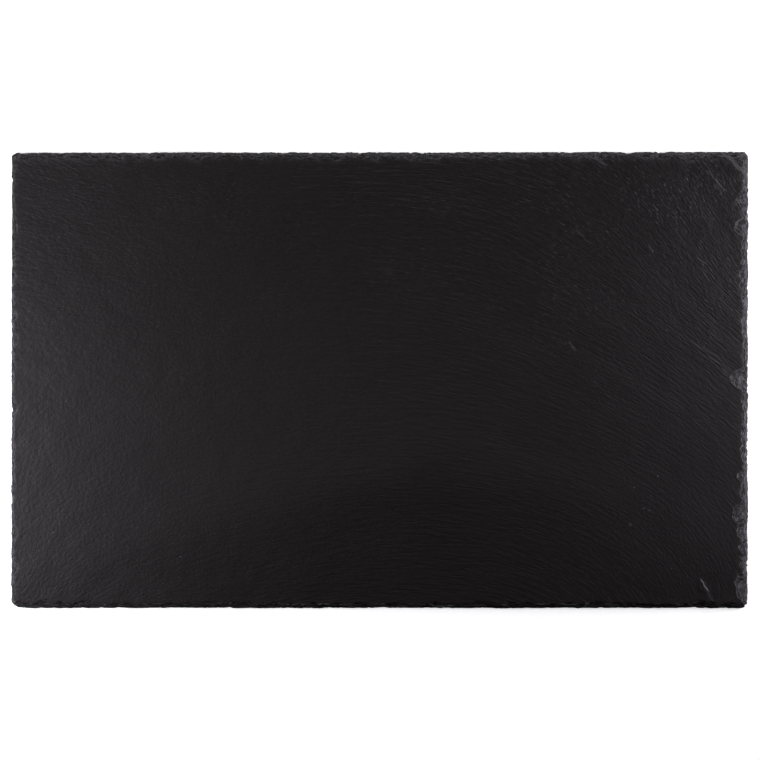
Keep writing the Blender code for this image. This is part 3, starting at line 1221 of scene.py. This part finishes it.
    def build(self) -> bpy.types.Object:
        """Puts the slab together as one closed mesh with crisp creases.

        Returns:
            The slab, without its finish.
        """
        rim, lip = self.build_edge()
        self.build_face(lip)
        self.build_underside(rim)
        mesh = self.skin.build("riven_slate")
        self.write_grain(mesh)
        mesh.polygons.foreach_set("use_smooth", np.ones(len(mesh.polygons), dtype=bool))
        mesh.set_sharp_from_angle(angle=math.radians(self.crease_degrees))
        slab = bpy.data.objects.new("riven_slate", mesh)
        bpy.context.scene.collection.objects.link(slab)
        return slab


class Step(Enum):
    """The sums that the finish's nodes do."""

    ADD = "ADD"
    SUBTRACT = "SUBTRACT"
    MULTIPLY = "MULTIPLY"
    GREATER = "GREATER_THAN"
    ABSOLUTE = "ABSOLUTE"


class Blend(Enum):
    """How the finish lays one colour over another."""

    MIX = "MIX"
    ADD = "ADD"


@dataclass(frozen=True)
class Pattern:
    """One noise of the finish: scales along its three axes, detail, roughness, and height in metres."""

    scale: tuple[float, float, float]
    detail: float
    roughness: float = 0.60
    height: float = 0.0

    @property
    def look(self) -> dict[Name, float]:
        """The noise's own inputs, by their names."""
        return {"Detail": self.detail, "Roughness": self.roughness}


@dataclass(frozen=True)
class SlateFinish:
    """Near-black slate: wrinkled, grainy, with paler stone where it is freshly broken, and painted light: a
    reflection over the face, highlights on crests and brinks, and each side's light on its broken stone.
    """

    face_dark: Colour = (0.0050, 0.0034, 0.0036, 1.0)
    face_light: Colour = (0.0082, 0.0058, 0.0063, 1.0)
    # Painted reflection: the colour added where a softbox's sheen is painted over the face.
    painted_reflection: Colour = (0.0052, 0.0050, 0.0049, 1.0)
    # Pale crests: partly paler fresh stone, partly a painted highlight.
    pale_crest_and_highlight: Colour = (0.0520, 0.0480, 0.0520, 1.0)
    broken_dark: Colour = (0.0060, 0.0050, 0.0058, 1.0)
    broken_light: Colour = (0.0950, 0.0890, 0.0960, 1.0)
    # Laid over pale marks: bruised stone, and painted highlights on leaf brinks and broad smudges.
    bruise_and_painted_highlight: Colour = (0.0600, 0.0560, 0.0590, 1.0)
    face_level: float = 0.0070
    specular_level: float = 0.35
    face_roughness: Span = (0.47, 0.53)
    figure_between: Span = (0.30, 0.70)
    broken_roughness: float = 0.70
    mottle_share: float = 0.30
    tone_between: Span = (0.34, 0.66)
    crumb_share: float = 0.50
    chalk_between: Span = (0.41, 0.71)
    paler_between: Span = (0.0012, 0.0046)
    paler_by: float = 0.12
    streak: Pattern = Pattern((230.0, 800.0, 400.0), detail=1.5, roughness=0.72, height=0.00055)
    thread: Pattern = Pattern((55.0, 460.0, 300.0), detail=1.5, height=0.00052)
    leaf: Pattern = Pattern((80.0, 330.0, 200.0), detail=2.0, height=0.00006)
    scale: Pattern = Pattern((250.0, 900.0, 300.0), detail=2.0, height=0.00012)
    grit: Pattern = Pattern((400.0, 520.0, 400.0), detail=1.8, roughness=0.68, height=0.00023)
    layer: Pattern = Pattern((60.0, 60.0, 2600.0), detail=3.0, height=0.00016)
    crumb: Pattern = Pattern((900.0, 900.0, 900.0), detail=2.0, height=0.00020)
    shard: Pattern = Pattern((330.0, 330.0, 330.0), detail=2.0, height=0.00030)
    mottle: Pattern = Pattern((16.0, 16.0, 16.0), detail=3.0)
    edge_wave: Pattern = Pattern((260.0, 260.0, 260.0), detail=2.0, roughness=0.50, height=0.0016)
    edge_softness: float = 0.0004
    fade_from: float = 0.50
    brink_width: float = 0.0011
    leaf_softness: float = 0.012
    leaf_levels: tuple[float, ...] = (0.42, 0.50, 0.58)
    scale_between: Span = (0.600, 0.660)
    speck_cell: float = 0.0150
    speck_radius: float = 0.0008
    speck_depth: float = 0.00014
    speck_rarity: float = 0.45
    speck_paleness: float = 0.25
    leaf_edges: tuple[LeafEdge, ...] = (
        LeafEdge(0.2549, 0.1548, -39.0, 0.0130, 0.00030, 0.9),
        LeafEdge(0.2585, 0.1500, -42.0, 0.0100, 0.00022, 0.9),
        LeafEdge(0.2441, 0.1397, -52.0, 0.0070, 0.00020, 0.5),
        LeafEdge(0.2395, 0.1445, -50.0, 0.0090, 0.00014, 0.3),
        LeafEdge(0.1570, 0.1570, -31.0, 0.0090, 0.00025, 0.6),
        LeafEdge(0.1944, 0.0943, -62.0, 0.0050, 0.00018, 0.2),
        LeafEdge(0.2300, 0.0858, -35.0, 0.0050, 0.00018, 0.4),
        LeafEdge(0.1435, 0.1055, -40.0, 0.0045, 0.00018, 0.4),
        LeafEdge(0.2350, 0.0210, -28.0, 0.0140, 0.00014, 0.12),
        LeafEdge(0.2420, 0.0130, -30.0, 0.0110, 0.00012, 0.12),
        LeafEdge(0.1382, 0.0243, -50.0, 0.0055, 0.00022, 0.05),
        LeafEdge(0.2330, -0.1470, -58.0, 0.0070, 0.00026, 0.35),
    )
    pits: tuple[Pit, ...] = (
        Pit(0.1400, 0.0232, 0.0038, 0.00030, 0.05),
        Pit(0.1370, 0.0210, 0.0014, 0.00022, 0.3),
        Pit(0.1340, 0.0270, 0.0012, 0.00020, 0.2),
        Pit(0.2061, 0.0360, 0.0010, 0.00018, 0.8),
        Pit(0.2467, 0.1358, 0.0010, 0.00020, 1.0),
        # The next two pits, broad and barely sunk, are pale smudges painted as highlights where the face
        # tilts to the light.
        Pit(0.2410, 0.1384, 0.0045, 0.00003, 0.22),
        Pit(0.2490, 0.0060, 0.0050, 0.00003, 0.22),
        Pit(0.1999, -0.0685, 0.0012, 0.00026, 0.8),
        Pit(0.1828, -0.0765, 0.0009, 0.00020, 0.9),
        Pit(0.1893, -0.0917, 0.0011, 0.00024, 0.8),
        Pit(0.1936, -0.0930, 0.0011, 0.00020, 0.8),
        Pit(0.1800, -0.1035, 0.0018, 0.00018, 0.5),
        Pit(0.2094, -0.1348, 0.0010, 0.00018, 0.7),
        Pit(0.0063, 0.0777, 0.0070, 0.00002, 0.08),
        Pit(-0.1430, -0.1263, 0.0013, 0.00014, 0.3),
        Pit(-0.2301, 0.1022, 0.0012, 0.00014, 0.3),
        Pit(-0.2251, -0.0153, 0.0014, 0.00016, 0.3),
        Pit(-0.2345, -0.1090, 0.0014, 0.00018, 0.4),
    )

    def material(self) -> bpy.types.Material:
        """Makes the material.

        Returns:
            The material.
        """
        made = bpy.data.materials.new("riven slate")
        made.use_nodes = True
        SlateNodes(made.node_tree, self).build()
        return made


class NodeBench:
    """Lays out one material's nodes, a call to each."""

    def __init__(self, tree: bpy.types.NodeTree) -> None:
        """Clears the tree and keeps it."""
        tree.nodes.clear()
        self.tree = tree

    def wire(self, kind: str, output: Name, inputs: dict[Name, Any], **settings: Any) -> Socket:
        """Adds a node: sockets among its inputs are wired, and plain values are set.

        Args:
            kind: Blender's name for the kind of node.
            output: which of its outputs is wanted.
            inputs: a socket or a plain value for each input, by its name or number.
            settings: the node's options.

        Returns:
            The output.
        """
        made = self.tree.nodes.new(kind)
        for name, value in settings.items():
            setattr(made, name, value)
        for name, source in inputs.items():
            if isinstance(source, bpy.types.NodeSocket):
                self.tree.links.new(source, made.inputs[name])
            else:
                made.inputs[name].default_value = source
        return made.outputs[output]

    def sum(self, step: Step, first: Source, second: Source, clamp: bool = False) -> Socket:
        """Does one step of arithmetic, held between 0 and 1 where it is clamped."""
        return self.wire("ShaderNodeMath", 0, {0: first, 1: second}, operation=step.value, use_clamp=clamp)

    def times(self, first: Source, second: Source) -> Socket:
        """Multiplies two values."""
        return self.sum(Step.MULTIPLY, first, second)

    def total(self, *parts: Source) -> Source:
        """Adds up any number of parts, from the first to the last."""
        return functools.reduce(functools.partial(self.sum, Step.ADD), parts)

    def remap(self, value: Source, low: float, high: float, to_low: float, to_high: float) -> Socket:
        """Carries a value from one range to another, held at both ends, along a smoothstep."""
        inputs = dict(enumerate((value, low, high, to_low, to_high)))
        return self.wire("ShaderNodeMapRange", 0, inputs, interpolation_type="SMOOTHSTEP", clamp=True)

    def share(self, value: Source, between: Span) -> Socket:
        """How far a value has climbed a range: 0 below it and 1 above it."""
        return self.remap(value, *between, 0.0, 1.0)

    def noise(self, vector: Socket, pattern: Pattern) -> Socket:
        """Reads a pattern's noise on a coordinate stretched by its scales: about 0.5 on average."""
        place = self.wire("ShaderNodeMapping", 0, {"Vector": vector, "Scale": pattern.scale})
        return self.wire("ShaderNodeTexNoise", 0, {"Vector": place, "Scale": 1.0, **pattern.look})

    def mix(self, share: Source, low: Source, high: Source) -> Socket:
        """Mixes two values: 0 gives the first and 1 the second."""
        return self.wire("ShaderNodeMix", 0, {0: share, 2: low, 3: high}, data_type="FLOAT")

    def blend(self, share: Source, under: Any, over: Any, way: Blend = Blend.MIX) -> Socket:
        """Lays a share of one colour over another."""
        inputs = {0: share, 6: under, 7: over}
        return self.wire("ShaderNodeMix", 2, inputs, data_type="RGBA", blend_type=way.value)

    def axes(self, vector: Socket) -> Any:
        """Splits a vector into its parts along X, Y and Z."""
        return self.wire("ShaderNodeSeparateXYZ", 0, {0: vector}).node.outputs

    def attribute(self, name: str, output: str = "Fac") -> Socket:
        """Reads a number of the mesh's points by its name, or a vector through the output Vector."""
        return self.wire("ShaderNodeAttribute", output, {}, attribute_type="GEOMETRY", attribute_name=name)


class SlateNodes(NodeBench):
    """The slate's nodes: what several of them read, the reliefs in metres, the colours and the gloss."""

    def __init__(self, tree: bpy.types.NodeTree, finish: SlateFinish) -> None:
        """Reads the places, the mesh's attributes and the noises that more than one part uses.

        Args:
            tree: the material's nodes.
            finish: the slate's sizes and colours.
        """
        super().__init__(tree)
        self.finish = finish
        self.place = self.wire("ShaderNodeTexCoord", "Object", {})
        self.grain = self.attribute("grain", "Vector")
        self.wrinkling, self.grittiness, self.scaliness = self.axes(self.attribute("relief", "Vector"))
        self.broken = self.attribute("broken")
        self.streak = self.noise(self.grain, finish.streak)
        self.crumb = self.noise(self.place, finish.crumb)
        self.shard = self.noise(self.place, finish.shard)
        crest = self.share(self.noise(self.grain, finish.scale), finish.scale_between)
        self.crest = self.times(crest, self.scaliness)
        self.figure = self.mix(self.wrinkling, self.crumb, self.streak)

    def bruises(self) -> Marks:
        """Sinks the small pits: each is a round dip about its middle, with a pale floor, a painted highlight
        on the broad shallow ones.

        Returns:
            The pits' rise, which is below nought, and their paleness.
        """
        depth: Source = 0.0
        pale: Source = 0.0
        for pit in self.finish.pits:
            inputs = {0: self.place, 1: (pit.x, pit.y, self.finish.face_level)}
            away = self.wire("ShaderNodeVectorMath", "Value", inputs, operation="DISTANCE")
            dip = self.remap(away, 0.0, pit.radius, 1.0, 0.0)
            depth = self.total(self.times(dip, pit.depth), depth)
            pale = self.total(self.times(dip, pit.paleness), pale)
        return self.times(depth, -1.0), pale

    def steps(self) -> Marks:
        """Raises the leaf edges: each is a wavy step across its heading, faded out at both ends.

        Returns:
            The steps' rise and the paleness of their brinks.
        """
        finish = self.finish
        wave = self.times(self.noise(self.place, finish.edge_wave), finish.edge_wave.height)
        height: Source = 0.0
        pale: Source = 0.0
        for edge in finish.leaf_edges:
            middle = (edge.x, edge.y, finish.face_level)
            turn = (0.0, 0.0, math.radians(edge.heading))
            inputs = {"Vector": self.place, "Location": middle, "Rotation": turn}
            local = self.wire("ShaderNodeMapping", 0, inputs, vector_type="TEXTURE")
            beyond = self.total(self.axes(local)["Y"], wave, -finish.edge_wave.height / 2)
            fall = self.remap(beyond, -finish.edge_softness, finish.edge_softness, edge.height, 0.0)
            reach = self.wire("ShaderNodeVectorMath", "Value", {0: local}, operation="LENGTH")
            fade = self.remap(reach, edge.half_length * finish.fade_from, edge.half_length, 1.0, 0.0)
            off = self.sum(Step.ABSOLUTE, beyond, 0.0)
            # The brink's paleness is partly bruised stone and partly a painted highlight along the step.
            brink = self.remap(off, 0.0, finish.brink_width, edge.paleness, 0.0)
            height = self.total(self.times(fall, fade), height)
            pale = self.total(self.times(brink, fade), pale)
        return height, pale

    def specks(self) -> Marks:
        """Scatters tiny dips: one in some of the cells of a Voronoi pattern, deepest at its middle.

        Returns:
            The specks' rise, which is below nought, and their paleness.
        """
        finish = self.finish
        inputs = {"Vector": self.place, "Scale": 1.0 / finish.speck_cell}
        distance = self.wire("ShaderNodeTexVoronoi", "Distance", inputs)
        dip = self.remap(distance, 0.0, finish.speck_radius / finish.speck_cell, 1.0, 0.0)
        chosen = self.sum(Step.GREATER, self.axes(distance.node.outputs["Color"])[0], finish.speck_rarity)
        speck = self.times(dip, chosen)
        return self.times(speck, -finish.speck_depth), self.times(speck, finish.speck_paleness)

    def leaves(self) -> Source:
        """Terraces the face: one noise climbs a soft step at each of the leaf levels.

        Returns:
            The terraces' rise.
        """
        leaf = self.noise(self.grain, self.finish.leaf)
        soft = self.finish.leaf_softness
        height: Source = 0.0
        for level in self.finish.leaf_levels:
            step = self.remap(leaf, level - soft, level + soft, 0.0, self.finish.leaf.height)
            height = self.total(step, height)
        return height

    def face_relief(self) -> Source:
        """Adds up the split face's relief: wrinkles by their strength, threads in the middle, and grit.

        Returns:
            The relief.
        """
        finish = self.finish
        streaks = self.times(self.streak, finish.streak.height)
        ridges = self.total(streaks, self.times(self.crest, finish.scale.height), self.leaves())
        threads = self.times(self.noise(self.grain, finish.thread), self.attribute("threading"))
        coarse = self.times(self.noise(self.grain, finish.grit), self.grittiness)
        return self.total(
            self.times(ridges, self.wrinkling),
            self.times(threads, finish.thread.height),
            self.times(coarse, finish.grit.height),
        )

    def edge_relief(self) -> Source:
        """Adds up the broken edge's relief: thin layers along the beds, crumbs and shards.

        Returns:
            The relief, by how freshly broken the stone is and by the side's painted light.
        """
        layers = self.times(self.noise(self.grain, self.finish.layer), self.finish.layer.height)
        crumbs = self.times(self.crumb, self.finish.crumb.height)
        shards = self.times(self.shard, self.finish.shard.height)
        return self.times(self.total(layers, crumbs, shards), self.broken)

    def face_colour(self) -> Socket:
        """Colours the split face: a dark and a lighter stone by figure and mottle, the painted reflection,
        and pale crests that are partly a painted highlight.

        Returns:
            The colour.
        """
        finish = self.finish
        mottle = self.times(self.noise(self.place, finish.mottle), finish.mottle_share)
        tone = self.total(self.times(self.figure, 1.0 - finish.mottle_share), mottle)
        colour = self.blend(self.share(tone, finish.tone_between), finish.face_dark, finish.face_light)
        # Adds the painted reflection: a softbox's sheen painted into the colour over the middle of the face.
        colour = self.blend(self.attribute("painted_reflection"), colour, finish.painted_reflection, Blend.ADD)
        # Pale crests on the wrinkled face, partly fresh stone and partly a painted highlight, strongest where
        # it is most wrinkled.
        shine = self.times(self.crest, self.times(self.wrinkling, self.wrinkling))
        return self.blend(shine, colour, finish.pale_crest_and_highlight)

    def edge_colour(self) -> Socket:
        """Colours the broken edge: chalky shards and crumbs, the paler the deeper they lie below the face.

        Returns:
            The colour.
        """
        finish = self.finish
        fresh = self.remap(self.axes(self.grain)["Z"], *finish.paler_between, 0.0, finish.paler_by)
        chalk = self.total(
            self.times(self.shard, 1.0 - finish.crumb_share),
            self.times(self.crumb, finish.crumb_share),
            self.times(fresh, self.broken),
        )
        return self.blend(self.share(chalk, finish.chalk_between), finish.broken_dark, finish.broken_light)

    def gloss(self) -> Source:
        """Sets the roughness: the face's own range by its figure, and duller stone where it is broken.

        Returns:
            The roughness.
        """
        face = self.remap(self.figure, *self.finish.figure_between, *self.finish.face_roughness)
        duller = self.sum(Step.SUBTRACT, self.finish.broken_roughness, face)
        return self.total(face, self.times(duller, self.broken))

    def build(self) -> None:
        """Joins the reliefs into one bump, lays the marks' pale stone and painted highlights over the
        colours, and shades it all.
        """
        rises, tints = zip(self.specks(), self.bruises(), self.steps())
        height = self.total(self.face_relief(), *rises, self.edge_relief())
        pale = self.sum(Step.ADD, self.total(*tints), 0.0, clamp=True)
        # The broken share picks the edge's pale colour, so each side's painted light shows here: painted
        # shade on the near side.
        stone = self.blend(self.broken, self.face_colour(), self.edge_colour())
        bump = {"Strength": 1.0, "Distance": 1.0, "Height": height}
        inputs = {
            "Base Color": self.blend(pale, stone, self.finish.bruise_and_painted_highlight),
            "Roughness": self.gloss(),
            "Normal": self.wire("ShaderNodeBump", "Normal", bump),
            "Specular IOR Level": self.finish.specular_level,
        }
        surface = self.wire("ShaderNodeBsdfPrincipled", "BSDF", inputs)
        self.tree.links.new(surface, self.tree.nodes.new("ShaderNodeOutputMaterial").inputs["Surface"])


@dataclass(frozen=True)
class Softbox:
    """A soft area light: where it hangs, what it points at, its size, its power and its colour."""

    name: str
    place: tuple[float, float, float]
    aim: tuple[float, float, float]
    size: Span
    power: float
    colour: tuple[float, float, float]

    def hang(self) -> None:
        """Adds the light, turned so that its face looks at its aim."""
        light = bpy.data.lights.new(self.name, "AREA")
        light.shape = "RECTANGLE"
        light.size, light.size_y = self.size
        light.energy = self.power
        light.color = self.colour
        lamp = bpy.data.objects.new(self.name, light)
        bpy.context.scene.collection.objects.link(lamp)
        lamp.location = self.place
        lamp.visible_camera = False
        offset = np.array(self.aim) - np.array(self.place)
        level = math.hypot(offset[0], offset[1])
        lamp.rotation_euler = (math.atan2(level, -offset[2]), 0.0, math.atan2(-offset[0], offset[1]))


@dataclass(frozen=True)
class Studio:
    """A plain pale table, soft lights on three sides and a camera straight above the slab."""

    lens: float = 85.0
    sensor: float = 36.0
    view_width: float = 0.5443
    face_height: float = 0.0070
    look_at: Span = (0.0004, 0.0000)
    floor_half: float = 6.0
    floor_colour: Colour = (0.86, 0.86, 0.86, 1.0)
    floor_roughness: float = 0.9
    floor_glow: float = 0.65
    sky_between: Span = (0.05, 0.45)
    sky_strength: Span = (0.03, 0.015)
    softboxes: tuple[Softbox, ...] = (
        Softbox(
            name="left softbox",
            place=(-0.546, -0.059, 0.260),
            aim=(-0.100, -0.030, 0.000),
            size=(0.254, 0.271),
            power=3.05,
            colour=(1.000, 0.990, 1.050),
        ),
        Softbox(
            name="right softbox",
            place=(0.607, 0.055, 0.160),
            aim=(0.100, 0.030, 0.000),
            size=(0.250, 0.289),
            power=2.95,
            colour=(1.000, 0.990, 1.060),
        ),
        Softbox(
            name="far softbox",
            place=(0.000, 1.020, 0.500),
            aim=(0.000, 0.050, 0.000),
            size=(0.900, 0.400),
            power=4.8,
            colour=(1.000, 0.995, 0.985),
        ),
    )

    def lay_floor(self) -> None:
        """Lays the pale table under the slab as stage."""
        half = self.floor_half
        mesh = bpy.data.meshes.new("table")
        corners = [(-half, -half, 0.0), (half, -half, 0.0), (half, half, 0.0), (-half, half, 0.0)]
        mesh.from_pydata(corners, [], [tuple(range(len(corners)))])
        made = bpy.data.materials.new("pale table")
        made.use_nodes = True
        shader = made.node_tree.nodes["Principled BSDF"]
        shader.inputs["Base Color"].default_value = self.floor_colour
        shader.inputs["Roughness"].default_value = self.floor_roughness
        shader.inputs["Specular IOR Level"].default_value = 0.0
        shader.inputs["Emission Color"].default_value = WHITE
        shader.inputs["Emission Strength"].default_value = self.floor_glow
        made.cycles.emission_sampling = "NONE"
        mesh.materials.append(made)
        table = bpy.data.objects.new("table", mesh)
        bpy.context.scene.collection.objects.link(table)
        table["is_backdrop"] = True

    def light(self) -> None:
        """Hangs the softboxes, and surrounds the table with a pale horizon under a dim ceiling."""
        for softbox in self.softboxes:
            softbox.hang()
        world = bpy.data.worlds.new("studio")
        world.use_nodes = True
        world.cycles.sampling_method = "NONE"
        bpy.context.scene.world = world
        nodes = world.node_tree.nodes
        links = world.node_tree.links
        height = nodes.new("ShaderNodeSeparateXYZ")
        links.new(nodes.new("ShaderNodeTexCoord").outputs["Generated"], height.inputs[0])
        fade = nodes.new("ShaderNodeMapRange")
        fade.interpolation_type = "SMOOTHSTEP"
        links.new(height.outputs["Z"], fade.inputs[0])
        for number, value in enumerate((*self.sky_between, *self.sky_strength), start=1):
            fade.inputs[number].default_value = value
        links.new(fade.outputs[0], nodes["Background"].inputs["Strength"])
        nodes["Background"].inputs["Color"].default_value = WHITE

    def set_camera(self) -> None:
        """Sets the camera straight above the slab, at the distance where the face fills the view's width."""
        data = bpy.data.cameras.new("camera")
        data.lens = self.lens
        data.sensor_width = self.sensor
        camera = bpy.data.objects.new("camera", data)
        bpy.context.scene.collection.objects.link(camera)
        height = self.face_height + self.view_width * self.lens / self.sensor
        camera.location = (self.look_at[0], self.look_at[1], height)
        bpy.context.scene.camera = camera

    def build(self) -> None:
        """Sets out the table, the lights and the camera, and shows colours as they are."""
        self.lay_floor()
        self.light()
        self.set_camera()
        bpy.context.scene.view_settings.view_transform = "Standard"


def plain(bounds: Any) -> list[list[float]]:
    """The corners of a box as plain lists of numbers."""
    return [[float(value) for value in corner] for corner in bounds]


def main() -> None:
    """Builds the slab and its studio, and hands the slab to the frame."""
    logging.basicConfig(level=logging.INFO, format="%(name)s: %(message)s")
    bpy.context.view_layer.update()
    slab = SlateSlab().build()
    slab.data.materials.append(SlateFinish().material())
    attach(slab, "root")
    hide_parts(NODE)
    slab.data.calc_loop_triangles()
    LOG.info("riven slate: %d triangles", len(slab.data.loop_triangles))
    Studio().build()
    dressed = plain(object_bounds())
    for axis, low, high in zip("XYZ", *dressed):
        LOG.info("dressed %s from %.4f to %.4f m", axis, low, high)


if __name__ == "__main__":
    main()
